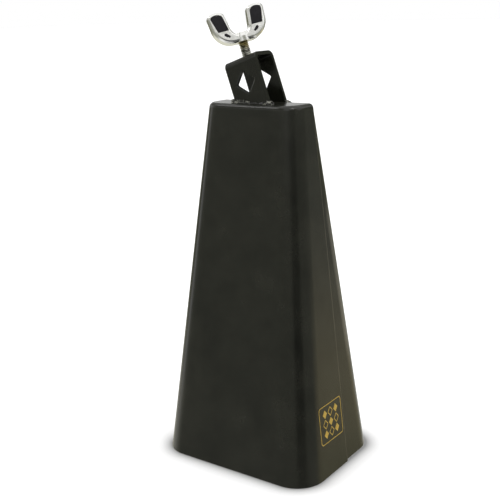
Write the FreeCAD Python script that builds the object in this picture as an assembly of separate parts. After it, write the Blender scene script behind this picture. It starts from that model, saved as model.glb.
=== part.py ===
import FreeCAD, Part
import math
import os

from FreeCAD import Placement, Rotation, Vector

# A tall steel cowbell for a rod mount. Millimetres, +Z up. The origin is the middle of the
# mouth, in the plane that the bell stands on. X runs along the broad faces, and the front
# broad face looks along -Y. The body is two pressed half shells, lapped and welded along
# their flanges. A tilted strap bracket on the crown holds a thumb screw over its rod holes.

# --- Body -------------------------------------------------------------------------------
bell_height = 228.6            # crown face above the mouth plane
mouth_width = 115.5            # outside, along X
mouth_depth = 89.0             # outside, along Y
mouth_corner_r = 19.0          # plan radius of the upright edges at the mouth
crown_width = 67.0
crown_depth = 32.0
crown_corner_r = 12.0          # plan radius of the upright edges at the crown
crown_edge_r = 3.0             # bend between the walls and the crown face
sheet = 1.5                    # thickness of the pressed steel
seam_y = 6.0                   # where the front shell's outer flange ends, behind mid depth
lap = 9.0                      # how far the back shell's flange reaches under the front's
lap_clearance = 0.05           # between the two lapped flanges
inner_bend_r = 0.75            # bend inside the back shell's crown
flange_edge_r = 0.5            # rounded outer edge of the front shell's flange

# --- Seam welds -------------------------------------------------------------------------
seam_weld_leg = 1.0            # size of the bead in the step between the shells
seam_weld_mouth_gap = 3.0      # the side beads stop this far above the mouth
seam_weld_end_gap = 1.0        # the beads stop this far short of the crown bend
seam_weld_root = 0.5           # how far the bead is drawn into the shell, before it is cut to fit
seam_weld_bulge = 0.6          # the bead's crest, as a share of its two legs

# --- Bracket ----------------------------------------------------------------------------
bracket_tilt = 19.2            # degrees that the bracket leans towards -X
strap_width = 23.8
strap_thickness = 2.4
bracket_span = 20.0            # outside to outside of the two legs, along Y
bracket_height = 28.6          # top of the strap above the crown, along the tilted axis
strap_bend_r = 1.3             # inside radius of the two top bends
strap_edge = 0.35              # bevel along the strap's outer edges and round its rod holes
rod_d = 9.5                    # the rod that the bracket is made for
rod_clearance = 0.8            # a rod hole's flats are this much wider than the rod
rod_hole_height = 13.5         # middle of the rod holes above the crown, along the axis
rod_hole_corner_r = 0.9
collar_drop = 2.0              # the drawn collar that gives the tapped hole its length
collar_wall = 1.5
bracket_weld_leg = 2.6         # size of the bead round the foot of each leg
bracket_weld_cap = 0.3         # thickness of that bead where it thins out

tolerance = 1e-4               # for picking edges that lie in a plane

# --- Thumb screw ------------------------------------------------------------------------
stud_d = 6.0
stud_clearance = 0.05          # radial, in the strap and in the wing head
stud_reach = 16.5              # stud below the wing head
stud_grip = 4.3                # stud inside the wing head
stud_end_gap = 0.1             # above the stud, at the bottom of the wing head's hole
stud_chamfer = 0.7
wing_gap = 9.4                 # strap top to wing head, as the screw is set
wing_turn = 49.5               # degrees that the wings are turned from the strap's width

# --- Wing head --------------------------------------------------------------------------
wing_rise = 20.6               # underside to tips
wing_half_span = 18.0          # axis to the outside of an arm, at the tips
wing_waist_half = 17.1         # the same, where the bowl runs into the arm
wing_waist_rise = 10.6
arm_tip_half = 7.4             # axis to the inside of an arm, at the tips
arm_root_half = 6.2            # axis to the inside of an arm, above the saddle
arm_root_rise = 10.6
arm_crown = 1.4                # how far the end of an arm bulges
arm_corner_r = 2.6             # radius of the corners of an arm's end
saddle_rise = 4.4              # lowest point between the arms
wing_foot_thickness = 9.6      # the head is this thick at its underside
wing_tip_thickness = 5.8       # and thins evenly to this at the tips
wing_edge = 1.3                # bevel round both faces of the head
wing_edge_ease = 0.45          # smaller bevel between that one and the face
hub_d = 10.4
hub_rise = 5.6
hub_shoulder_rise = 3.0        # the hub is round up to here, and coned above
hub_top_d = 7.6
thumb_rim = 1.4                # metal left beside and above each sunk thumb face
thumb_root_rim = 2.6           # metal left outside it at its lower edge
thumb_ledge_rise = 8.3         # lower edge of the thumb faces
thumb_thickness = 5.2          # metal left between the two thumb faces of an arm
thumb_foot_r = 0.4             # radius of their two lower corners
thumb_tip_r = 1.6              # and of the two upper ones
slot_low_half = 8.3            # small slot under each thumb face: axis to its lower end
slot_low_rise = 4.3
slot_high_half = 10.1          # axis to its upper end
slot_high_rise = 6.0
slot_width = 1.1
slot_depth = 0.5


# --- Body shells ------------------------------------------------------------------------

def along_height(z, at_mouth, at_crown):
    """A size that changes evenly from the mouth to the crown."""
    return at_mouth + (at_crown - at_mouth) * z / bell_height


def wall_normal(outward, at_mouth, at_crown):
    """Outward normal of the leaning wall that faces outward."""
    lean = (at_mouth - at_crown) / 2 / bell_height
    return (outward + Vector(0, 0, lean)).normalize()


def at_rise(low, high, z):
    """The point at height z on the line through two points."""
    return low + (high - low) * ((z - low.z) / (high.z - low.z))


def corner_balls(side, face, side_in, face_in, bottom, top):
    """The balls that touch both walls of an upright corner, at two heights, and the walls' normals."""
    side_normal = wall_normal(Vector(side, 0, 0), mouth_width, crown_width)
    face_normal = wall_normal(Vector(0, face, 0), mouth_depth, crown_depth)
    balls = []
    for z in (bottom, top):
        radius = along_height(z, mouth_corner_r, crown_corner_r) - face_in
        x = along_height(z, mouth_width, crown_width) / 2 - side_in - radius / abs(side_normal.x)
        y = along_height(z, mouth_depth, crown_depth) / 2 - face_in - radius / abs(face_normal.y)
        balls.append((Vector(side * x, face * y, z), radius))
    return balls, side_normal, face_normal


def cone_round(balls):
    """Cone that wraps two balls, run on past both of them."""
    (low, low_r), (high, high_r) = balls
    axis = high - low
    taper = math.asin((low_r - high_r) / axis.Length)
    over = low_r
    low_end, high_end = low_r / math.cos(taper), high_r / math.cos(taper)
    start = low - Vector(axis).normalize() * over
    return Part.makeCone(low_end + over * math.tan(taper), high_end - over * math.tan(taper),
                         axis.Length + 2 * over, start, axis)


def flat_face(points):
    return Part.Face(Part.makePolygon(points + points[:1]))


def corner_post(balls, low, high, outward):
    """The part of a corner's cone outside the plane through its two tangent lines."""
    spread = (low[1] - low[0]).normalize() * mouth_width
    chord = flat_face([low[0] - spread, low[1] + spread, high[1] + spread, high[0] - spread])
    return cone_round(balls).common(chord.extrude(outward * mouth_width))


def tapered_body(bottom, top, insets, edge_r):
    """Solid between two heights, with flat leaning walls, coned corners and a rounded crown edge."""
    side_in, front_in, back_in = insets
    lows, highs, posts = [], [], []
    for side, face, face_in in ((1, -1, front_in), (1, 1, back_in), (-1, 1, back_in), (-1, -1, front_in)):
        balls, side_normal, face_normal = corner_balls(side, face, side_in, face_in, bottom, top)
        normals = [face_normal, side_normal] if side * face < 0 else [side_normal, face_normal]
        touches = [[centre + normal * radius for centre, radius in balls] for normal in normals]
        low = [at_rise(*touch, bottom) for touch in touches]
        high = [at_rise(*touch, top) for touch in touches]
        posts.append(corner_post(balls, low, high, Vector(side, face, 0)))
        lows += low
        highs += high
    walls = [flat_face([lows[i - 1], lows[i], highs[i], highs[i - 1]]) for i in range(len(lows))]
    shell = Part.makeShell(walls + [flat_face(lows), flat_face(highs)])
    shell.sewShape()
    solid = Part.makeSolid(shell).multiFuse(posts).removeSplitter()
    rim = [e for e in solid.Edges if abs(e.BoundBox.ZMin - top) < tolerance]
    return solid.makeFillet(edge_r, rim)


def behind(y):
    """Everything behind the plane at y."""
    reach = mouth_width + bell_height
    return Part.makeBox(2 * reach, reach, 2 * reach, Vector(-reach, y, -reach))


def make_front_shell():
    outer = tapered_body(0, bell_height, (0, 0, 0), crown_edge_r)
    inner = tapered_body(-sheet, bell_height - sheet, (sheet, sheet, sheet), crown_edge_r - sheet)
    shell = outer.cut(inner).cut(behind(seam_y))
    on_crown = [e for e in shell.Edges if e.BoundBox.ZMin > bell_height - tolerance]
    rim = [e for e in on_crown if e.BoundBox.YMin > seam_y - tolerance]
    return shell.makeFillet(flange_edge_r, rim)


def make_back_shell():
    nest = sheet + lap_clearance
    outer = tapered_body(0, bell_height - nest, (nest, nest, 0), crown_edge_r - sheet)
    inner = tapered_body(-sheet, bell_height - nest - sheet, (nest + sheet, nest + sheet, sheet),
                         inner_bend_r)
    return outer.cut(inner).common(behind(seam_y - lap))


def bead_section(corner, along_step, along_wall):
    """Rounded triangle in the step at corner. The two vectors are the legs of the bead."""
    inward = Vector(along_step).normalize() * -seam_weld_root
    tip, toe = corner + along_step, corner + along_wall
    crest = corner + (along_step + along_wall) * seam_weld_bulge
    root, toe_root = corner + inward, toe + inward
    return Part.Wire([Part.LineSegment(root, tip).toShape(), Part.Arc(tip, crest, toe).toShape(),
                      Part.LineSegment(toe, toe_root).toShape(),
                      Part.LineSegment(toe_root, root).toShape()])


def make_side_seam_weld(side, back_shell):
    """Bead up the side, in the step from the front shell's flange down to the back shell."""
    sections = []
    for z in (seam_weld_mouth_gap, bell_height - crown_edge_r - seam_weld_end_gap):
        x = along_height(z, mouth_width, crown_width) / 2 - sheet - lap_clearance
        sections.append(bead_section(Vector(side * x, seam_y, z), Vector(side * seam_weld_leg, 0, 0),
                                     Vector(0, seam_weld_leg, 0)))
    return Part.makeLoft(sections, True, True).cut(back_shell)


def make_crown_seam_weld(back_shell):
    """Bead across the crown, between the legs of the bracket."""
    half = crown_width / 2 - crown_edge_r - seam_weld_end_gap
    corner = Vector(-half, seam_y, bell_height - sheet - lap_clearance)
    section = bead_section(corner, Vector(0, 0, seam_weld_leg), Vector(0, seam_weld_leg, 0))
    return Part.Face(section).extrude(Vector(2 * half, 0, 0)).cut(back_shell)


# --- Bracket and its welds --------------------------------------------------------------

# The bracket and the screw are drawn upright about +Z and leant over in one step.
clamp_frame = Placement(Vector(0, 0, bell_height), Rotation(Vector(0, 1, 0), -bracket_tilt))
back_crown = bell_height - sheet - lap_clearance
leg_outside = bracket_span / 2
leg_inside = leg_outside - strap_thickness


def strap_outline(half_span, top, bend_r, foot):
    """Arch in the YZ plane: two legs and a flat top, joined by bends."""
    points = [Vector(0, -half_span, foot), Vector(0, -half_span, top - bend_r),
              Vector(0, -half_span + bend_r, top), Vector(0, half_span - bend_r, top),
              Vector(0, half_span, top - bend_r), Vector(0, half_span, foot)]
    mid = bend_r * (1 - math.sqrt(0.5))
    bends = [Vector(0, -half_span + mid, top - mid), Vector(0, half_span - mid, top - mid)]
    line = Part.LineSegment
    return Part.Wire([line(points[0], points[1]).toShape(),
                      Part.Arc(points[1], bends[0], points[2]).toShape(),
                      line(points[2], points[3]).toShape(),
                      Part.Arc(points[3], bends[1], points[4]).toShape(),
                      line(points[4], points[5]).toShape(), line(points[5], points[0]).toShape()])


def strap_block(half_span, top, bend_r, foot):
    face = Part.Face(strap_outline(half_span, top, bend_r, foot))
    return face.extrude(Vector(strap_width, 0, 0)).translated(Vector(-strap_width / 2, 0, 0))


def rod_hole():
    """Square hole on its corner, through both legs."""
    flats = rod_d + rod_clearance
    block = Part.makeBox(flats, 2 * bracket_span, flats, Vector(-flats / 2, -bracket_span, -flats / 2))
    upright = [e for e in block.Edges if abs(e.BoundBox.YLength - 2 * bracket_span) < tolerance]
    block = block.makeFillet(rod_hole_corner_r, upright)
    block.rotate(Vector(), Vector(0, 1, 0), 45)
    return block.translated(Vector(0, 0, rod_hole_height))


def make_bracket_blank():
    """The bent strap before its feet are cut to the crown."""
    foot = -strap_width
    strap = strap_block(leg_outside, bracket_height, strap_bend_r + strap_thickness, foot)
    strap = strap.cut(strap_block(leg_inside, bracket_height - strap_thickness, strap_bend_r, foot))
    collar_r = stud_d / 2 + stud_clearance + collar_wall
    underside = bracket_height - strap_thickness
    strap = strap.fuse(Part.makeCylinder(collar_r, collar_drop, Vector(0, 0, underside - collar_drop)))
    tapped = Part.makeCylinder(stud_d / 2 + stud_clearance, bracket_height, Vector(0, 0, underside / 2))
    strap = strap.cut(tapped).cut(rod_hole())
    outside = [e for e in strap.Edges if e.BoundBox.YLength < tolerance
               and abs(e.CenterOfMass.y) > leg_outside - tolerance]
    rims = [e for e in outside if tolerance < e.BoundBox.XLength < strap_width / 2]
    sides = [e for e in outside if e.BoundBox.XLength < tolerance]
    strap = strap.makeChamfer(strap_edge, rims + sides)
    strap.Placement = clamp_frame.multiply(strap.Placement)
    return strap


def below(z):
    reach = mouth_width + bell_height
    return Part.makeBox(2 * reach, 2 * reach, reach, Vector(-reach, -reach, z - reach))


def make_mount_bracket():
    """The front leg stands on the front shell and the back leg on the lower back shell."""
    blank = make_bracket_blank()
    front = blank.cut(behind(0)).cut(below(bell_height))
    back = blank.common(behind(0)).cut(below(back_crown))
    return front.fuse(back).removeSplitter()


def weld_plan(z, x_middle, side):
    """Plan of a leg's bead: the leg's own plan, grown outwards and to both ends."""
    grow = bracket_weld_leg
    half = strap_width / math.cos(math.radians(bracket_tilt)) / 2 + grow
    inner, outer = side * leg_inside, side * (leg_outside + grow)
    left, right = x_middle - half, x_middle + half
    step = side * grow
    mid = grow * (1 - math.sqrt(0.5))
    line = Part.LineSegment
    a, b = Vector(left, inner, z), Vector(left, outer - step, z)
    c, d = Vector(left + grow, outer, z), Vector(right - grow, outer, z)
    e, f = Vector(right, outer - step, z), Vector(right, inner, z)
    bends = [Vector(left + mid, outer - side * mid, z), Vector(right - mid, outer - side * mid, z)]
    return Part.Wire([line(a, b).toShape(), Part.Arc(b, bends[0], c).toShape(), line(c, d).toShape(),
                      Part.Arc(d, bends[1], e).toShape(), line(e, f).toShape(), line(f, a).toShape()])


def make_bracket_weld(side, base, bracket):
    """Bead round the outside and the two ends of a leg's foot."""
    x_middle = (bell_height - base) * math.tan(math.radians(bracket_tilt))
    bead = Part.Face(weld_plan(base, x_middle, side)).extrude(Vector(0, 0, bracket_weld_leg))
    level = [e for e in bead.Edges if e.BoundBox.ZMin > base + bracket_weld_cap]
    rim = [e for e in level if abs(e.CenterOfMass.y) > leg_inside + tolerance]
    return bead.makeChamfer(bracket_weld_leg - bracket_weld_cap, rim).cut(bracket)


# --- Thumb screw ------------------------------------------------------------------------

head_foot = bracket_height + wing_gap
head_frame = clamp_frame.multiply(Placement(Vector(0, 0, head_foot), Rotation(Vector(0, 0, 1), wing_turn)))


def make_clamp_stud():
    length = stud_reach + stud_grip
    stud = Part.makeCylinder(stud_d / 2, length, Vector(0, 0, head_foot - stud_reach))
    ends = [e for e in stud.Edges if abs(e.BoundBox.ZLength) < tolerance]
    stud = stud.makeChamfer(stud_chamfer, ends)
    stud.Placement = clamp_frame.multiply(stud.Placement)
    return stud


def arm_sides(draw_in):
    """Outer and inner side line of the right arm, each as its low and its high point."""
    top = wing_rise - arm_crown - draw_in
    outer = [Vector(wing_waist_half - draw_in, 0, wing_waist_rise), Vector(wing_half_span - draw_in, 0, top)]
    inner = [Vector(arm_root_half + draw_in, 0, arm_root_rise), Vector(arm_tip_half + draw_in, 0, top)]
    return outer, inner


def arm_end(outer, inner, drop):
    """Bulging end of an arm, between the tops of its sides."""
    crest = Vector((outer.x + inner.x) / 2, 0, wing_rise - drop)
    return Part.Arc(outer, crest, inner)


def mirror_point(point):
    return Vector(-point.x, point.y, point.z)


def bowl_arc(low, high):
    """Arc under the arm: it leaves the outer side line at its low point and rests level at the foot."""
    along = (high - low).normalize()
    outward = Vector(along.z, 0, -along.x)
    radius = low.z / (1 + outward.z)
    centre = low - outward * radius
    middle = centre + (outward + Vector(0, 0, -1)).normalize() * radius
    return Part.Arc(low, middle, Vector(centre.x, 0, 0))


def saddle_point(low, high):
    """Where the arc between the arms, level at its middle, runs into the inner side line."""
    along = (high - low).normalize()
    outward = Vector(along.z, 0, -along.x)
    radius = (low.dot(outward) - saddle_rise * outward.z) / (1 + outward.z)
    return Vector(0, 0, saddle_rise + radius) + outward * radius


def wing_outline():
    """Front outline of the head: flat foot, round bowl, two arms and the saddle."""
    outer, inner = arm_sides(0)
    bowl = bowl_arc(*outer)
    foot = bowl.toShape().lastVertex().Point
    root = saddle_point(*inner)
    right = [bowl, Part.LineSegment(outer[0], outer[1]), arm_end(outer[1], inner[1], 0),
             Part.LineSegment(inner[1], root)]
    edges = [curve.toShape() for curve in right]
    mirrored = [edge.mirror(Vector(), Vector(1, 0, 0)) for edge in edges]
    saddle = Part.Arc(root, Vector(0, 0, saddle_rise), mirror_point(root)).toShape()
    underside = Part.LineSegment(mirror_point(foot), foot).toShape()
    return Part.Wire(Part.__sortEdges__(edges + [saddle] + mirrored + [underside]))


def half_thickness(z):
    """Half of the head's thickness at height z."""
    return (wing_foot_thickness + (wing_tip_thickness - wing_foot_thickness) * z / wing_rise) / 2


def side_outline():
    """Edge-on outline of the head, which thins evenly from the foot to the tips."""
    foot, tip = half_thickness(0), half_thickness(wing_rise)
    points = [Vector(0, -foot, 0), Vector(0, foot, 0), Vector(0, tip, wing_rise), Vector(0, -tip, wing_rise)]
    return Part.makePolygon(points + points[:1])


def thumb_pocket():
    """Cutter for the flat thumb face of the right arm, on the +Y side."""
    outer, inner = arm_sides(thumb_rim)
    low_inner = at_rise(*inner, thumb_ledge_rise)
    low_outer = at_rise(*arm_sides(thumb_root_rim)[0], thumb_ledge_rise)
    curves = [Part.LineSegment(low_inner, low_outer), Part.LineSegment(low_outer, outer[1]),
              arm_end(outer[1], inner[1], thumb_rim), Part.LineSegment(inner[1], low_inner)]
    face = Part.Face(Part.Wire([curve.toShape() for curve in curves]))
    pocket = face.extrude(Vector(0, wing_foot_thickness, 0)).translated(Vector(0, thumb_thickness / 2, 0))
    across = [e for e in pocket.Edges if abs(e.BoundBox.YLength - wing_foot_thickness) < tolerance]
    upper = [e for e in across if e.CenterOfMass.z > arm_root_rise]
    lower = [e for e in across if e.CenterOfMass.z < arm_root_rise]
    return pocket.makeFillet(thumb_tip_r, upper).makeFillet(thumb_foot_r, lower)


def thumb_slot():
    """Cutter for the slot with round ends under a thumb face, on the +Y side."""
    low, high = Vector(slot_low_half, 0, slot_low_rise), Vector(slot_high_half, 0, slot_high_rise)
    along = (high - low).normalize() * slot_width / 2
    side = Vector(along.z, 0, -along.x)
    curves = [Part.LineSegment(low + side, high + side), Part.Arc(high + side, high + along, high - side),
              Part.LineSegment(high - side, low - side), Part.Arc(low - side, low - along, low + side)]
    face = Part.Face(Part.Wire([curve.toShape() for curve in curves]))
    floor = half_thickness((low.z + high.z) / 2) - slot_depth
    return face.extrude(Vector(0, wing_foot_thickness, 0)).translated(Vector(0, floor, 0))


def make_wing_blank():
    """The head before it is bored: an even slab, thinned towards its tips, with beveled rims."""
    reach = Vector(wing_half_span + wing_foot_thickness, 0, 0)
    depth = Vector(0, wing_foot_thickness, 0)
    slab = Part.Face(wing_outline()).extrude(depth).translated(depth * -0.5)
    across = [e for e in slab.Edges if abs(e.BoundBox.YLength - wing_foot_thickness) < tolerance]
    tips = [e for e in across if e.CenterOfMass.z > wing_waist_rise + arm_corner_r]
    wedge = Part.Face(side_outline()).extrude(reach * 2).translated(reach * -1)
    blank = slab.makeFillet(arm_corner_r, tips).common(wedge)
    rims = [e for e in blank.Edges if min(abs(v.Point.y) for v in e.Vertexes) > tolerance
            and len({v.Point.y > 0 for v in e.Vertexes}) == 1]
    blank = blank.makeChamfer(wing_edge, rims)
    fronts = sorted(blank.Faces, key=lambda face: face.Area)[-2:]
    return blank.makeChamfer(wing_edge_ease, [edge for face in fronts for edge in face.Edges])


def make_wing_head():
    hub = Part.makeCylinder(hub_d / 2, hub_shoulder_rise)
    cone = Part.makeCone(hub_d / 2, hub_top_d / 2, hub_rise - hub_shoulder_rise, Vector(0, 0, hub_shoulder_rise))
    head = make_wing_blank().fuse(hub.fuse(cone))
    for cutter in (thumb_pocket(), thumb_slot()):
        for face in (cutter, cutter.mirror(Vector(), Vector(0, 1, 0))):
            head = head.cut(face).cut(face.mirror(Vector(), Vector(1, 0, 0)))
    bore = Part.makeCylinder(stud_d / 2 + stud_clearance, stud_grip + stud_end_gap)
    head = head.cut(bore)
    head.Placement = head_frame.multiply(head.Placement)
    return head


# --- Build and write --------------------------------------------------------------------

front_shell = make_front_shell()
back_shell = make_back_shell()
mount_bracket = make_mount_bracket()

parts = {
    "front_shell": front_shell,
    "back_shell": back_shell,
    "seam_weld_left": make_side_seam_weld(-1, back_shell),
    "seam_weld_right": make_side_seam_weld(1, back_shell),
    "seam_weld_crown": make_crown_seam_weld(back_shell),
    "mount_bracket": mount_bracket,
    "bracket_weld_front": make_bracket_weld(-1, bell_height, mount_bracket),
    "bracket_weld_back": make_bracket_weld(1, back_crown, mount_bracket),
    "clamp_stud": make_clamp_stud(),
    "wing_head": make_wing_head(),
}

os.makedirs("parts", exist_ok=True)
for name, shape in parts.items():
    shape.exportStep(os.path.join("parts", name + ".step"))
    print(name, len(shape.Solids), "solid", round(shape.Volume, 1), "mm3", "valid" if shape.isValid() else "BAD")
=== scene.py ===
import math

import bmesh
import bpy
from mathutils import Matrix, Vector


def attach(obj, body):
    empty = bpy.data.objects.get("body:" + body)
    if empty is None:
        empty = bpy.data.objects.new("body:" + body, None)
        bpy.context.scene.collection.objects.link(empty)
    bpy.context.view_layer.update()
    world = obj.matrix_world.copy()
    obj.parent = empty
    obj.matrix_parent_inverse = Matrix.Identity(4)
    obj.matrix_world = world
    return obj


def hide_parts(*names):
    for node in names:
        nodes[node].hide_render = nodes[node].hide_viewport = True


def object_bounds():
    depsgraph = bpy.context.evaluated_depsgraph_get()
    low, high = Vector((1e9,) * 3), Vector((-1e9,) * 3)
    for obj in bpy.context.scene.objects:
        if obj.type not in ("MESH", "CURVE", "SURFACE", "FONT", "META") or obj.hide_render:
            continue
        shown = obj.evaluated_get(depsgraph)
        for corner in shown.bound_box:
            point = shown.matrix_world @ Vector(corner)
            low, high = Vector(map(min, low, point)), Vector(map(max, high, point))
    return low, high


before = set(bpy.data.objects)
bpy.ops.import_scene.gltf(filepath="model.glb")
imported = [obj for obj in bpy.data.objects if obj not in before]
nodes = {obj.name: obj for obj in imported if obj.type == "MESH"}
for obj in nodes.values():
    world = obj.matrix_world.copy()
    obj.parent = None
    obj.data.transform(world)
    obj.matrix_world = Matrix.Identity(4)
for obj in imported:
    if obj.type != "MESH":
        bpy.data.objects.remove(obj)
cad_box = [list(corner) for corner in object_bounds()]
MM = 0.001

# --- Sizes repeated from the CAD model, in millimetres and degrees --------------------------
BELL_HEIGHT = 228.6
MOUTH_WIDTH = 115.5
MOUTH_CORNER_R = 19.0
CROWN_WIDTH = 67.0
SHEET = 1.5
LAP_CLEARANCE = 0.05
SEAM_Y = 6.0                   # where the front shell's flange ends
BRACKET_TILT = 19.2
BRACKET_SPAN = 20.0
STRAP_WIDTH = 23.8
STRAP_THICKNESS = 2.4
BRACKET_WELD_LEG = 2.6
STUD_D = 6.0
STUD_REACH = 16.5              # of the stud below the wing head's foot
STUD_GRIP = 4.3                # and up into the wing head
STUD_CHAMFER = 0.7
THREAD_PITCH = 1.0
THREAD_DEPTH = 0.62
HEAD_FOOT = 38.0               # from the crown to the wing head, along the screw
WING_TURN = 49.5
WING_RISE = 20.6
WING_FOOT_THICKNESS = 9.6
WING_TIP_THICKNESS = 5.8
THUMB_THICKNESS = 5.2
SLOT_LOW_RISE = 4.3
SLOT_HIGH_RISE = 6.0
SLOT_DEPTH = 0.5

# The thumb screw leans with the bracket. Its own frame has +Z along the screw.
lean = math.radians(BRACKET_TILT)
bell_frame = Matrix.Scale(MM, 4)
screw_frame = (Matrix.Translation((0, 0, BELL_HEIGHT * MM))
               @ Matrix.Rotation(-lean, 4, "Y") @ Matrix.Scale(MM, 4))
wing_frame = (screw_frame @ Matrix.Translation((0, 0, HEAD_FOOT))
              @ Matrix.Rotation(math.radians(WING_TURN), 4, "Z"))


# --- Helpers --------------------------------------------------------------------------------

def add_piece(name, bm, place, body, material, smooth=True):
    """Make an object of a bmesh in millimetres, place it on the part and let it ride a body."""
    bmesh.ops.recalc_face_normals(bm, faces=bm.faces)
    mesh = bpy.data.meshes.new(name)
    bm.to_mesh(mesh)
    bm.free()
    mesh.transform(place)
    for face in mesh.polygons:
        face.use_smooth = smooth
    mesh.materials.append(material)
    piece = bpy.data.objects.new(name, mesh)
    bpy.context.scene.collection.objects.link(piece)
    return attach(piece, body)


def skin(bm, rings):
    """Faces from each ring of vertices to the next, and one over each end."""
    for first, second in zip(rings, rings[1:]):
        for k in range(len(first)):
            bm.faces.new((first[k - 1], first[k], second[k], second[k - 1]))
    bm.faces.new(rings[0])
    bm.faces.new(rings[-1])


def neighbours(points, i):
    """The i-th point of a closed outline, between the one before it and the one after it."""
    return (Vector(points[j % len(points)]) for j in (i - 1, i, i + 1))


def rounded(points, radius, steps=6):
    """Outline with every corner replaced by an arc."""
    out = []
    for i in range(len(points)):
        before, corner, after = neighbours(points, i)
        to_before, to_after = (before - corner).normalized(), (after - corner).normalized()
        half = to_before.angle(to_after) / 2
        room = min((before - corner).length / 2, (after - corner).length / 2)
        reach = min(radius / math.tan(half), room)
        start, end = corner + to_before * reach, corner + to_after * reach
        r = reach * math.tan(half)
        centre = corner + (to_before + to_after).normalized() * (r / math.sin(half))
        a, b = start - centre, end - centre
        sweep = a.angle_signed(b)
        for k in range(steps + 1):
            turn = Matrix.Rotation(-sweep * k / steps, 2)
            out.append(tuple(centre + turn @ a))
    return out


# --- Materials ------------------------------------------------------------------------------

# Each material's tones, from its darkest to its lightest.
SHELL_TONES = ((0.0096, 0.0101, 0.0066), (0.0178, 0.0181, 0.0125))
BRACKET_TONES = ((0.0090, 0.0094, 0.0062), (0.0130, 0.0135, 0.0090))
WELD_TONES = ((0.009, 0.009, 0.007), (0.016, 0.016, 0.012))
CHROME_TONES = ((0.86, 0.86, 0.83), (0.93, 0.93, 0.90))
ZINC_TONES = ((0.84, 0.84, 0.76), (0.95, 0.95, 0.88))
YELLOWED_TONES = ((0.52, 0.43, 0.17), (0.78, 0.69, 0.37))
# These tones serve the thumb inlays and the painted dark reflection in the slots.
INLAY_AND_REFLECTION_TONES = ((0.012, 0.011, 0.014), (0.020, 0.018, 0.022))
INK_TONES = ((0.54, 0.35, 0.060), (0.80, 0.56, 0.13))
# Painted highlight: a light line down the flange's edge, standing in for that edge's glint.
EDGE_HIGHLIGHT_TONE = (0.075, 0.070, 0.050)
# Painted glints on the bracket's welds.
GLINT_TONE = (0.36, 0.36, 0.31)
GRIME_TONE = (0.06, 0.056, 0.040)
# Painted shade in the grooves of the thread.
GROOVE_SHADE_TONE = (0.02, 0.019, 0.014)

# Where the marks on them lie, in millimetres.
# The painted highlight down the flange's edge lies here:
HIGHLIGHT_START, HIGHLIGHT_FULL = 1.3, 0.5             # from the flange's edge
HIGHLIGHT_PAST_EDGE = 0.02                       # keeps the back shell clear of it
HIGHLIGHT_NONE, HIGHLIGHT_WHOLE = 3, 8                 # below the crown
# The painted glints lie at both ends of each bracket weld:
GLINTS_MIDDLE = 4                          # X of the middle of a leg's foot, which has none
GLINTS_START, GLINTS_FULL = 3.5, 6         # to both sides of that middle
GLINTS_HEIGHT = 0.5                        # they start this far below the crown
YELLOW_START, YELLOW_FULL = 260.0, 263.2   # height of the stud's yellowed end
GRIME_STRENGTH = 0.8

# Sockets of a Mix node for colours.
MIX_FACTOR, MIX_FIRST, MIX_SECOND, MIX_RESULT = 0, 6, 7, 2


class Nodes:
    """The node tree of a material or a world, with short calls for adding and wiring nodes."""

    def __init__(self, owner):
        owner.use_nodes = True
        self.owner = owner
        self.tree = owner.node_tree
        self.shader = self.tree.nodes.get("Principled BSDF")

    def add(self, kind, inputs=None, **settings):
        node = self.tree.nodes.new(kind)
        for key, value in settings.items():
            setattr(node, key, value)
        for key, value in (inputs or {}).items():
            self.put(node, key, value)
        return node

    def put(self, node, key, value):
        """Wire a socket to an input, or set the input to a number or colour."""
        if isinstance(value, bpy.types.NodeSocket):
            self.tree.links.new(value, node.inputs[key])
        else:
            node.inputs[key].default_value = value

    def place(self):
        """Where the surface is, in the object's own metres."""
        return self.add("ShaderNodeTexCoord").outputs["Object"]

    def split(self, vector):
        """The X, Y and Z of a vector."""
        return self.add("ShaderNodeSeparateXYZ", {"Vector": vector}).outputs

    def noise(self, scale, detail=4.0, roughness=0.55, stretch=None):
        """Noise over the object's own metres."""
        place = self.place()
        if stretch:
            place = self.add("ShaderNodeMapping", {"Vector": place, "Scale": stretch}).outputs[0]
        return self.add("ShaderNodeTexNoise", {"Vector": place, "Scale": scale, "Detail": detail,
                                               "Roughness": roughness}).outputs["Fac"]

    def spread(self, value, low, high, at_low=0.3, at_high=0.7):
        """Map the middle of a value's range to low..high."""
        return self.add("ShaderNodeMapRange",
                        {"Value": value, "From Min": at_low, "From Max": at_high,
                         "To Min": low, "To Max": high}).outputs[0]

    def ease(self, value, zero, one):
        """Map zero..one to 0..1 along a smooth curve."""
        return self.add("ShaderNodeMapRange", {"Value": value, "From Min": zero, "From Max": one},
                        interpolation_type="SMOOTHSTEP").outputs[0]

    def blend(self, factor, first, second):
        """Mix two colours, each of them a socket or red, green and blue."""
        mix = self.add("ShaderNodeMix", data_type="RGBA")
        self.put(mix, MIX_FACTOR, factor)
        for key, colour in ((MIX_FIRST, first), (MIX_SECOND, second)):
            self.put(mix, key, (*colour, 1) if isinstance(colour, tuple) else colour)
        return mix.outputs[MIX_RESULT]

    def tone(self, value, tones, at_low=0.3, at_high=0.7):
        """Colour from the first of two tones to the second over the middle of a value's range."""
        return self.blend(self.spread(value, 0, 1, at_low, at_high), *tones)

    def math(self, operation, *values):
        return self.add("ShaderNodeMath", dict(enumerate(values)), operation=operation).outputs[0]

    def vector(self, operation, *values):
        node = self.add("ShaderNodeVectorMath", dict(enumerate(values)), operation=operation)
        return node.outputs["Value" if operation in ("LENGTH", "DOT_PRODUCT") else "Vector"]

    def bump(self, height, strength, distance, below=None):
        inputs = {"Height": height, "Strength": strength, "Distance": distance}
        if below is not None:
            inputs["Normal"] = below
        return self.add("ShaderNodeBump", inputs).outputs[0]

    def finish(self, **inputs):
        """Wire or set the shader's inputs, with _ for a space in their names."""
        for key, value in inputs.items():
            self.put(self.shader, key.replace("_", " "), value)
        return self.owner


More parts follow.
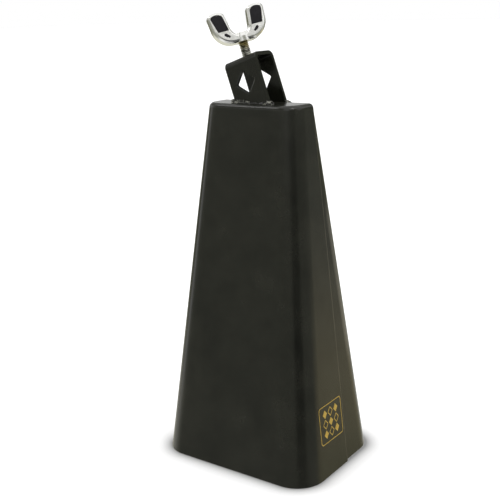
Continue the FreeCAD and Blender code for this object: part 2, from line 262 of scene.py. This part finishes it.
def edge_highlight_share(n):
    """Share of the painted highlight along the front shell's flange edge, down both sides of the
    bell: a light line that stands in for the glint on that rounded edge.
    """
    place = n.split(n.place())
    line = n.ease(place["Y"], (SEAM_Y - HIGHLIGHT_START) * MM, (SEAM_Y - HIGHLIGHT_FULL) * MM)
    below_crown = n.ease(place["Z"], (BELL_HEIGHT - HIGHLIGHT_NONE) * MM,
                         (BELL_HEIGHT - HIGHLIGHT_WHOLE) * MM)
    on_front = n.math("LESS_THAN", place["Y"], (SEAM_Y + HIGHLIGHT_PAST_EDGE) * MM)
    share = n.math("MULTIPLY", n.math("MULTIPLY", line, below_crown), on_front)
    uneven = n.spread(n.noise(120, detail=3, roughness=0.6), 0.35, 1)
    return n.math("MULTIPLY", share, uneven)


def enamel(name, tones, rough, peel, with_edge_highlight=False):
    """Sprayed black enamel: cloudy tone, uneven gloss, fine orange peel and slow waves."""
    n = Nodes(bpy.data.materials.new(name))
    cloud = n.noise(44, detail=5, roughness=0.65)
    smudge = n.noise(70, detail=3, roughness=0.5, stretch=(1.0, 1.0, 0.45))
    colour = n.tone(cloud, tones, at_low=0.36, at_high=0.64)
    # The shell's enamel may carry a painted highlight down the flange's edge, standing in for its
    # glint.
    if with_edge_highlight:
        colour = n.blend(edge_highlight_share(n), colour, EDGE_HIGHLIGHT_TONE)
    gloss = n.math("ADD", n.spread(cloud, rough - 0.02, rough + 0.02),
                   n.spread(smudge, -0.015, 0.02))
    grain = n.bump(n.noise(1500, detail=2, roughness=0.5), strength=peel, distance=0.00005)
    wave = n.bump(n.noise(18, detail=2, roughness=0.4), strength=0.25, distance=0.0006,
                  below=grain)
    return n.finish(Base_Color=colour, Roughness=gloss, Normal=wave)


def weld_enamel():
    """The same enamel over weld metal, with painted glints: light spots at both ends of each
    bracket weld.
    """
    n = Nodes(bpy.data.materials.new("weld_enamel"))
    lumps = n.bump(n.noise(420, detail=2, roughness=0.5), strength=1.0, distance=0.0009)
    colour = n.tone(n.noise(300), WELD_TONES)
    place = n.split(n.place())
    from_middle = n.math("ABSOLUTE", n.math("SUBTRACT", place["X"], GLINTS_MIDDLE * MM))
    at_foot = n.math("MULTIPLY", n.ease(from_middle, GLINTS_START * MM, GLINTS_FULL * MM),
                     n.ease(place["Z"], (BELL_HEIGHT - GLINTS_HEIGHT) * MM, BELL_HEIGHT * MM))
    # Painted glints: light spots at both ends of each leg's foot.
    painted_glints = n.ease(n.noise(900, detail=2, roughness=0.5, stretch=(0.3, 1, 1)), 0.54, 0.62)
    colour = n.blend(n.math("MULTIPLY", painted_glints, at_foot), colour, GLINT_TONE)
    return n.finish(Base_Color=colour, Roughness=n.spread(n.noise(500), 0.05, 0.12),
                    Specular_IOR_Level=0.4, Normal=lumps)


def chrome():
    """Chrome plate over a slightly uneven casting."""
    n = Nodes(bpy.data.materials.new("chrome"))
    haze = n.noise(240, detail=4, roughness=0.6)
    cast = n.bump(n.noise(210, detail=2, roughness=0.5), strength=0.3, distance=0.0004)
    return n.finish(Base_Color=n.tone(haze, CHROME_TONES), Metallic=1.0,
                    Roughness=n.spread(haze, 0.19, 0.26), Normal=cast)


def zinc():
    """Zinc plate, grimy, with painted shade darkening the grooves of the thread, and yellowed near
    the head.
    """
    n = Nodes(bpy.data.materials.new("zinc"))
    near_head = n.spread(n.split(n.place())["Z"], 0, 1, YELLOW_START * MM, YELLOW_FULL * MM)
    stain = n.noise(700, detail=4, roughness=0.6)
    plate = n.blend(near_head, n.tone(stain, ZINC_TONES), n.tone(stain, YELLOWED_TONES))
    grime = n.ease(n.noise(1350, detail=1, roughness=0.4, stretch=(0.3, 0.3, 1)), 0.48, 0.57)
    plate = n.blend(n.math("MULTIPLY", grime, GRIME_STRENGTH), plate, GRIME_TONE)
    # Painted shade darkens the thread's grooves, by their depth.
    groove = n.add("ShaderNodeAttribute", attribute_name="groove").outputs["Fac"]
    return n.finish(Base_Color=n.blend(groove, plate, GROOVE_SHADE_TONE), Metallic=1.0,
                    Roughness=n.spread(stain, 0.3, 0.42))


def inlay_and_reflection_black():
    """Soft black of the thumb inlays in the wing head, and of the painted dark reflection in each
    slot.
    """
    n = Nodes(bpy.data.materials.new("inlay_and_reflection_black"))
    grain = n.noise(2600, detail=2, roughness=0.5)
    return n.finish(Base_Color=n.tone(n.noise(400), INLAY_AND_REFLECTION_TONES),
                    Roughness=n.spread(grain, 0.5, 0.62), Specular_IOR_Level=0.25,
                    Normal=n.bump(grain, strength=0.3, distance=0.00004))


def gold_ink():
    """Gold printing ink, a little worn."""
    n = Nodes(bpy.data.materials.new("gold_ink"))
    wear = n.noise(1400, detail=4, roughness=0.6)
    return n.finish(Base_Color=n.tone(wear, INK_TONES), Metallic=0.35,
                    Roughness=n.spread(wear, 0.35, 0.5))


# The shell's enamel carries the painted highlight down the flange's edge.
paint = enamel("shell_enamel", SHELL_TONES, rough=0.22, peel=0.12, with_edge_highlight=True)
bracket_paint = enamel("bracket_enamel", BRACKET_TONES, rough=0.20, peel=0.10)
weld_paint = weld_enamel()
wing_chrome = chrome()
stud_zinc = zinc()
inlay_and_reflection_paint = inlay_and_reflection_black()
label_gold = gold_ink()

dress = {"front_shell": paint, "back_shell": paint, "mount_bracket": bracket_paint,
         "seam_weld_left": weld_paint, "seam_weld_right": weld_paint,
         "seam_weld_crown": weld_paint, "bracket_weld_front": weld_paint,
         "bracket_weld_back": weld_paint, "clamp_stud": stud_zinc, "wing_head": wing_chrome}
for node, material in dress.items():
    for material_slot in nodes[node].material_slots:
        material_slot.material = material


# --- Threaded stud --------------------------------------------------------------------------

THREAD_SIDES = 48              # of the stud's section
ROWS_PER_TURN = 16             # of vertices along the stud, for each turn of the thread
ROOT_SHARE = 0.12              # of the pitch that is flat at the bottom of the groove
FLANK_SHARE = 0.66             # and that slopes
# The groove's depth sets the painted shade that darkens it.
GROOVE_SHADE_FADE = 3                # power of the depth that darkens the groove


def groove_depth(turn, z):
    """Depth of a right-hand thread at an angle (in turns) and a height, 0 at a crest to 1."""
    phase = (z / THREAD_PITCH - turn) % 1.0
    return 1 - min(max((abs(2 * phase - 1) - ROOT_SHARE) / FLANK_SHARE, 0.0), 1.0)


def make_thread():
    """The stud with its thread. The groove attribute says how dark the painted shade in the groove
    makes each vertex.
    """
    low, high = HEAD_FOOT - STUD_REACH, HEAD_FOOT + STUD_GRIP
    rows = ROWS_PER_TURN * int((high - low) / THREAD_PITCH)
    bm = bmesh.new()
    shade = bm.verts.layers.float.new("groove")
    rings = []
    for row in range(rows + 1):
        z = low + (high - low) * row / rows
        chamfered = STUD_D / 2 - STUD_CHAMFER + min(z - low, high - z)
        ring = []
        for k in range(THREAD_SIDES):
            depth = groove_depth(k / THREAD_SIDES, z)
            r = min(STUD_D / 2 - THREAD_DEPTH * depth, chamfered)
            angle = 2 * math.pi * k / THREAD_SIDES
            vert = bm.verts.new((r * math.cos(angle), r * math.sin(angle), z))
            vert[shade] = depth ** GROOVE_SHADE_FADE
            ring.append(vert)
        rings.append(ring)
    skin(bm, rings)
    return bm


stud = add_piece("stud_thread", make_thread(), screw_frame, "clamp_screw", stud_zinc)
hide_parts("clamp_stud")


# --- Weld round the foot of each leg --------------------------------------------------------

WELD_RIPPLE = 1.5              # from one ripple of the bead to the next
WELD_SINK = 0.5                # how far the bead reaches into the strap and the crown
WELD_THIN = 0.5                # how much of the bead's size is lost along its plain middle
PLAIN_AT = 0.58                # where that middle is, as a share of the path
PLAIN_REACH = 0.4              # how long it is
PLAIN_EDGE = 2.2               # how sharply it ends
STATION = 0.2                  # between the places on the path that get a ring
CORNER_STEPS = 8               # of the turn round a corner of the foot
CORNER_REACH = 0.9             # how far a radian of that turn counts along the path
SECTION_STEPS = 8              # across the bead's face
SIZE_EVEN, SIZE_RIPPLE, SIZE_DRIFT = 0.84, 0.08, 0.06    # shares of the bead's leg
SWELL_EVEN, SWELL_RIPPLE, SWELL_LUMP = 0.13, 0.10, 0.06  # of its size, by which its face bulges
DRIFT_SLOW, DRIFT_FAST = 0.73, 1.9                       # radians per millimetre of the path
DRIFT_FAST_SHARE = 0.6
LUMP_ALONG, LUMP_ACROSS = 2.6, 5   # radians per millimetre of the path, and across the face
BACK_HEIGHT = 0.9              # of the bead's hidden side, as a share of its size


def foot_path(side, middle):
    """Points and outward normals along the outside and the two ends of a leg's foot, in plan."""
    half = STRAP_WIDTH / math.cos(lean) / 2
    inner, outer = BRACKET_SPAN / 2 - STRAP_THICKNESS, BRACKET_SPAN / 2
    corners = [(-half, inner), (-half, outer), (half, outer), (half, inner)]
    headings = [math.atan2(y, x) for x, y in ((-1, 0), (0, 1), (1, 0))]
    stations = []
    for run, heading in enumerate(headings):
        start, end = Vector(corners[run]), Vector(corners[run + 1])
        count = max(2, round((end - start).length / STATION))
        stations += [(start.lerp(end, k / count), heading) for k in range(count + 1)]
        if run < len(headings) - 1:
            stations += [(end, heading - math.pi / 2 * k / CORNER_STEPS)
                         for k in range(1, CORNER_STEPS)]
    return [(Vector((middle + p.x, side * p.y)), Vector((math.cos(a), side * math.sin(a))))
            for p, a in stations]


def make_weld(side, base):
    """Rippled bead of weld in the corner between a leg and the crown."""
    path = foot_path(side, (BELL_HEIGHT - base) * math.tan(lean))
    bm = bmesh.new()
    rings = []
    travelled = 0.0
    for i, (point, normal) in enumerate(path):
        if i:
            last_point, last_normal = path[i - 1]
            travelled += ((point - last_point).length
                          + CORNER_REACH * (normal - last_normal).length)
        ripple = math.cos(2 * math.pi * travelled / WELD_RIPPLE)
        drift = (math.sin(travelled * DRIFT_SLOW + side)
                 + DRIFT_FAST_SHARE * math.sin(travelled * DRIFT_FAST + 2 * side))
        plain = math.exp(-(PLAIN_EDGE * (i / len(path) - PLAIN_AT) / PLAIN_REACH) ** 4)
        size = SIZE_EVEN + SIZE_RIPPLE * ripple + SIZE_DRIFT * drift
        leg = BRACKET_WELD_LEG * size * (1 - WELD_THIN * plain)
        ring = []
        for k in range(SECTION_STEPS + 1):
            share = k / SECTION_STEPS
            out, up = leg * share, leg * (1 - share)
            lump = math.sin(LUMP_ALONG * travelled + LUMP_ACROSS * share + side)
            bulge = SWELL_EVEN + SWELL_RIPPLE * ripple + SWELL_LUMP * lump
            swell = math.sin(math.pi * share) * leg * bulge
            along = -up * math.tan(lean)
            spot = point + normal * (out + swell)
            ring.append(bm.verts.new((spot.x + along, spot.y, base + up + swell)))
        toe, top = point + normal * leg, point - normal * WELD_SINK
        ring.append(bm.verts.new((toe.x, toe.y, base - WELD_SINK)))
        ring.append(bm.verts.new((top.x, top.y, base - WELD_SINK)))
        ring.append(bm.verts.new((top.x - leg * math.tan(lean), top.y,
                                  base + leg * BACK_HEIGHT)))
        rings.append(ring)
    skin(bm, rings)
    return bm


for node, side, base in (("bracket_weld_front", -1, BELL_HEIGHT),
                         ("bracket_weld_back", 1, BELL_HEIGHT - SHEET - LAP_CLEARANCE)):
    bead = add_piece(node + "_bead", make_weld(side, base), bell_frame, "bell", weld_paint)
    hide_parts(node)


# --- Black inlays of the wing head, painted dark reflections in its slots -------------------

INLAY_PLAY = 0.05              # a thumb face is this much smaller than its recess, all round
THUMB_FILL = 0.35              # thickness of a thumb face
THUMB_TIP = 3.4                # how far down its end a thumb face is rounded
TIP_POWER = 2.3                # of the rounding's curve, where 2 is an ellipse
TIP_CUTS = 8                   # each edge of the outline is cut into so many to be rounded
TIP_RUN = 3                    # length below the tip over which the arm's slant is measured
TIP_STEP = 0.05                # least distance between two points of the rounded outline
# The black in each slot is a painted dark reflection, standing in for the dark its hollow mirrors.
SLOT_SPREAD = 0.35             # the black in a slot runs out over its edge by this much
SLOT_PROUD = 0.08              # and stands this far above the face
ON_FLOOR = 0.01                # a vertex this close to a recess's floor belongs to it
SAME_SPOT = 0.001              # and two this close to each other are one


def round_tip(outline):
    """Round the upper end of an outline in the XZ plane over the height of THUMB_TIP."""
    dense = [a.lerp(b, k / TIP_CUTS) for a, b in zip(outline, outline[1:] + outline[:1])
             for k in range(TIP_CUTS)]
    top = max(p.z for p in dense)

    def span(rise):
        return [a.x for a, b in zip(dense, dense[1:] + dense[:1])
                if (a.z - rise) * (b.z - rise) <= 0]

    foot, lower = span(top - THUMB_TIP), span(top - THUMB_TIP - TIP_RUN)
    half = (max(foot) - min(foot)) / 2
    middle = (max(foot) + min(foot)) / 2
    slant = (middle - (max(lower) + min(lower)) / 2) / TIP_RUN
    rounded_outline = []
    for point in dense:
        up = max(0.0, (point.z - top + THUMB_TIP) / THUMB_TIP)
        limit = half * (1 - min(up, 1.0) ** TIP_POWER) ** (1 / TIP_POWER)
        centre = middle + slant * up * THUMB_TIP
        if up > 0:
            point.x = centre + max(-limit, min(limit, point.x - centre))
        if not rounded_outline or (point - rounded_outline[-1]).length > TIP_STEP:
            rounded_outline.append(point)
    return rounded_outline


def make_inlay(level, side, thickness, grow, soft_tip):
    """Plate on the floor of the wing head's recess at y = level, on one side of its axis."""
    bm = bmesh.new()
    bm.from_mesh(nodes["wing_head"].data)
    bm.transform(wing_frame.inverted())
    off_floor = [v for v in bm.verts if abs(v.co.y - level) > ON_FLOOR or v.co.x * side < 0]
    bmesh.ops.delete(bm, geom=off_floor, context="VERTS")
    bmesh.ops.delete(bm, geom=[v for v in bm.verts if not v.link_faces], context="VERTS")
    bmesh.ops.remove_doubles(bm, verts=bm.verts, dist=SAME_SPOT)
    plate = bmesh.ops.dissolve_faces(bm, faces=bm.faces)["region"][0]
    outline = []
    for loop in plate.loops:
        along = loop.link_loop_next.vert.co - loop.link_loop_prev.vert.co
        outline.append(loop.vert.co + along.cross(plate.normal).normalized() * grow)
    if soft_tip:
        outline = round_tip(outline)
    bm.clear()
    lift = Vector((0, math.copysign(thickness, level), 0))
    skin(bm, [[bm.verts.new(point + rise) for point in outline] for rise in (Vector(), lift)])
    return bm


# The arms thin from their foot to their tip, and each slot lies in a face of an arm.
slot_middle = (SLOT_LOW_RISE + SLOT_HIGH_RISE) / 2
thinning = (WING_TIP_THICKNESS - WING_FOOT_THICKNESS) * slot_middle / WING_RISE
slot_floor = (WING_FOOT_THICKNESS + thinning) / 2 - SLOT_DEPTH
# Thumb faces are black inlays; the black in each slot is a painted dark reflection.
for kind, level, thickness, grow, soft_tip in (
        ("thumb_face", THUMB_THICKNESS / 2, THUMB_FILL, -INLAY_PLAY, True),
        ("slot_dark_reflection", slot_floor, SLOT_DEPTH + SLOT_PROUD, SLOT_SPREAD, False)):
    for face, face_name in ((-1, "front"), (1, "back")):
        for side, side_name in ((-1, "left"), (1, "right")):
            inlay = add_piece(f"{kind}_{face_name}_{side_name}",
                              make_inlay(face * level, side, thickness, grow, soft_tip),
                              wing_frame, "wing", inlay_and_reflection_paint, smooth=False)


# --- Printed panel --------------------------------------------------------------------------

PANEL_MIDDLE_Y = -9.5
PANEL_MIDDLE_Z = 33.6
PANEL_HALF_WIDTH = 12.9
PANEL_HALF_HEIGHT = 12.0
PANEL_CORNER_R = 2.0
PANEL_LINE = 0.5
PRINT_LIFT = 0.05              # of the ink above the paint
LOZENGE_STEP_X = 6.4
LOZENGE_STEP_Z = 6.6
SOLID_LOZENGE = (2.5, 2.8)     # half its width and height
RULED_LOZENGE = (2.6, 2.9)
RULED_CORNER_R = 0.2
RULED_LINE = 0.55

wall_slope = (MOUTH_WIDTH - CROWN_WIDTH) / 2 / BELL_HEIGHT
up_the_wall = Vector((-wall_slope, 0, 1)).normalized()
out_of_wall = Vector((1, 0, wall_slope)).normalized()
panel_place = Matrix.Scale(MM, 4) @ Matrix.Translation(
    (MOUTH_WIDTH / 2 - wall_slope * PANEL_MIDDLE_Z, PANEL_MIDDLE_Y, PANEL_MIDDLE_Z)) @ Matrix(
    ((0, out_of_wall.x, up_the_wall.x, 0), (1, out_of_wall.y, up_the_wall.y, 0),
     (0, out_of_wall.z, up_the_wall.z, 0), (0, 0, 0, 1)))


def diamond(x, z, half_width, half_height):
    """Outline of a figure that stands on its corner."""
    return [(x, z - half_height), (x + half_width, z), (x, z + half_height), (x - half_width, z)]


def add_line_loop(bm, outline, width):
    """Flat ring of ink along a closed outline, in the XZ plane."""
    inner, outer = [], []
    for i in range(len(outline)):
        before, here, after = neighbours(outline, i)
        along = (after - before).normalized()
        across = Vector((along.y, -along.x)) * width / 2
        inner.append(bm.verts.new((here.x - across.x, PRINT_LIFT, here.y - across.y)))
        outer.append(bm.verts.new((here.x + across.x, PRINT_LIFT, here.y + across.y)))
    for i in range(len(outline)):
        bm.faces.new((inner[i - 1], inner[i], outer[i], outer[i - 1]))


def make_print():
    """Rounded frame round a lattice of lozenges: solid ones with ruled ones between."""
    bm = bmesh.new()
    half_w, half_h = PANEL_HALF_WIDTH, PANEL_HALF_HEIGHT
    border = [(-half_w, -half_h), (half_w, -half_h), (half_w, half_h), (-half_w, half_h)]
    add_line_loop(bm, rounded(border, PANEL_CORNER_R), PANEL_LINE)
    for column in (-1, 0, 1):
        for row in (-1, 0, 1):
            x, z = column * LOZENGE_STEP_X, row * LOZENGE_STEP_Z
            if (column + row) % 2:
                outline = rounded(diamond(x, z, *RULED_LOZENGE), RULED_CORNER_R, steps=2)
                add_line_loop(bm, outline, RULED_LINE)
            else:
                bm.faces.new([bm.verts.new((px, PRINT_LIFT, pz))
                              for px, pz in diamond(x, z, *SOLID_LOZENGE)])
    return bm


label = add_piece("printed_panel", make_print(), panel_place, "bell", label_gold, smooth=False)


# --- Studio ---------------------------------------------------------------------------------

# The room is white, with soft areas of another shade: each one's azimuth and elevation, half
# its width and height, how wide its soft edge is, all in degrees, and its colour. A later one
# lies over those before it.
AREAS = ((-46, -8, 122, 24, 22, (0.305, 0.31, 0.27)),
         (-37, -4, 17, 12, 14, (0.02, 0.02, 0.04)),
         (122, -8, 58, 11, 7, (0.17, 0.17, 0.12)),
         (152, -32, 56, 15, 16, (0.72, 0.71, 0.60)),
         (126, 27, 50, 14, 6, (0.30, 0.30, 0.28)),
         (58, -30, 26, 14, 20, (1.06, 0.92, 0.56)),
         (54, -31, 34, 11, 5, (0.34, 0.33, 0.22)),
         (54, 13, 16, 10, 8, (0.15, 0.16, 0.12)),
         (0, -80, 180, 26, 14, (0.36, 0.36, 0.34)),
         (-22, 24, 24, 12, 12, (0.30, 0.30, 0.265)),
         (-125, 42, 45, 20, 10, (0.35, 0.35, 0.32)),
         (-152, 50, 9, 7, 5, (4.0, 4.0, 4.0)),
         (-11, 60, 8, 6, 4, (9.0, 9.0, 9.0)))
WHITE = (1.0, 1.0, 1.0)
FLOOR_HALF = 12                # half the floor's side, in metres
FLOOR_PAPER = 0.9              # the floor's grey to everything but the camera
FLOOR_SHADE = 0.42             # its own grey to the camera, which shows the shadow
# Away from the mouth the glow brings the grey to white; near it the glow fades, a painted shadow.
FLOOR_GLOW = 0.84              # what brings that grey to white away from the object
SHADOW_REACH = 0.0060          # how fast it does, in metres from the mouth
LAMP_TARGET = Vector((0, 0, 0.12))


def make_floor():
    """Pale floor that shows the object's shadow, with a painted shadow near the mouth where its
    glow fades, and white further off.
    """
    bm = bmesh.new()
    bmesh.ops.create_grid(bm, x_segments=1, y_segments=1, size=FLOOR_HALF)
    mesh = bpy.data.meshes.new("studio_floor")
    bm.to_mesh(mesh)
    bm.free()
    floor = bpy.data.objects.new("studio_floor", mesh)
    bpy.context.scene.collection.objects.link(floor)
    n = Nodes(bpy.data.materials.new("floor_paper"))
    corner = [max(abs(low), high) - MOUTH_CORNER_R * MM for low, high in zip(*cad_box)][:2]
    place = n.vector("ABSOLUTE", n.place())
    past_corner = n.vector("MAXIMUM", n.vector("SUBTRACT", place, (*corner, 0)), (0, 0, 0))
    away = n.math("SUBTRACT", n.vector("LENGTH", past_corner), MOUTH_CORNER_R * MM)
    # Painted shadow: the glow to the camera fades towards the mouth.
    shadow = n.math("EXPONENT", n.math("DIVIDE", n.math("MAXIMUM", away, 0.0), -SHADOW_REACH))
    glow = n.math("MULTIPLY", n.math("SUBTRACT", 1.0, shadow), FLOOR_GLOW)
    seen = n.add("ShaderNodeLightPath").outputs["Is Camera Ray"]
    n.finish(Base_Color=n.blend(seen, (FLOOR_PAPER,) * 3, (FLOOR_SHADE,) * 3),
             Roughness=0.9, Specular_IOR_Level=0.0,
             Emission_Color=(*WHITE, 1), Emission_Strength=n.math("MULTIPLY", seen, glow))
    mesh.materials.append(n.owner)
    floor.visible_glossy = False


def make_world():
    """White room. Its soft areas light the object and show in its gloss, but not to the camera."""
    world = bpy.data.worlds.new("studio")
    bpy.context.scene.world = world
    n = Nodes(world)
    direction = n.add("ShaderNodeTexCoord").outputs["Generated"]
    level = n.vector("NORMALIZE", n.vector("MULTIPLY", direction, (1, 1, 0)))
    height = n.math("ARCSINE", n.split(direction)["Z"])
    room = WHITE
    for azimuth, elevation, half_width, half_height, edge, colour in AREAS:
        turn, rise, wide, high, soft = (math.radians(angle) for angle in
                                        (azimuth, elevation, half_width, half_height, edge / 2))
        across = n.vector("DOT_PRODUCT", level, (math.cos(turn), math.sin(turn), 0))
        from_middle = n.math("ABSOLUTE", n.math("SUBTRACT", height, rise))
        share = n.ease(from_middle, high + soft, high - soft)
        if half_width < 180:
            beside = n.ease(across, math.cos(wide + soft), math.cos(wide - soft))
            share = n.math("MULTIPLY", share, beside)
        room = n.blend(share, room, colour)
    ray = n.add("ShaderNodeLightPath").outputs
    seen = n.math("MAXIMUM", ray["Is Camera Ray"], ray["Is Transmission Ray"])
    n.put(n.tree.nodes["Background"], "Color", n.blend(seen, room, WHITE))


def add_softbox(name, place, size, watts, tint=WHITE, near=False):
    """Square lamp that looks at the middle of the bell. Only a near one shows in the gloss."""
    lamp = bpy.data.lights.new(name, "AREA")
    lamp.size = size
    lamp.energy = watts
    lamp.color = tint
    box = bpy.data.objects.new(name, lamp)
    box.location = place
    box.rotation_euler = (LAMP_TARGET - Vector(place)).to_track_quat("-Z", "Y").to_euler()
    box.visible_glossy = near
    box.visible_camera = False
    bpy.context.scene.collection.objects.link(box)


make_floor()
make_world()
add_softbox("softbox_left", (-1.3, -0.7, 0.9), size=1.0, watts=3)
add_softbox("softbox_right", (0.10, 0.26, 0.065), size=0.13, watts=0.024,
            tint=(1.0, 0.95, 0.84), near=True)
add_softbox("softbox_top", (0.1, 0.4, 1.8), size=1.6, watts=4)
bpy.context.scene.view_settings.view_transform = "Standard"


# --- Camera ---------------------------------------------------------------------------------

CAMERA_PLACE = Vector((0.317822, -0.459151, 0.285927))
CAMERA_LOOK = Vector((-0.562708, 0.784461, -0.260731))
CAMERA_ABOVE = Vector((-0.130285, 0.227305, 0.965069))
CAMERA_LENS = 65.2             # millimetres, for the sensor's width below
CAMERA_SENSOR = 36

camera_data = bpy.data.cameras.new("camera")
camera_data.sensor_width = CAMERA_SENSOR
camera_data.lens = CAMERA_LENS
camera = bpy.data.objects.new("camera", camera_data)
right = CAMERA_LOOK.cross(CAMERA_ABOVE).normalized()
above = right.cross(CAMERA_LOOK)
camera.matrix_world = Matrix.Translation(CAMERA_PLACE) @ Matrix(
    (right, above, -CAMERA_LOOK)).transposed().to_4x4()
bpy.context.scene.collection.objects.link(camera)
bpy.context.scene.camera = camera
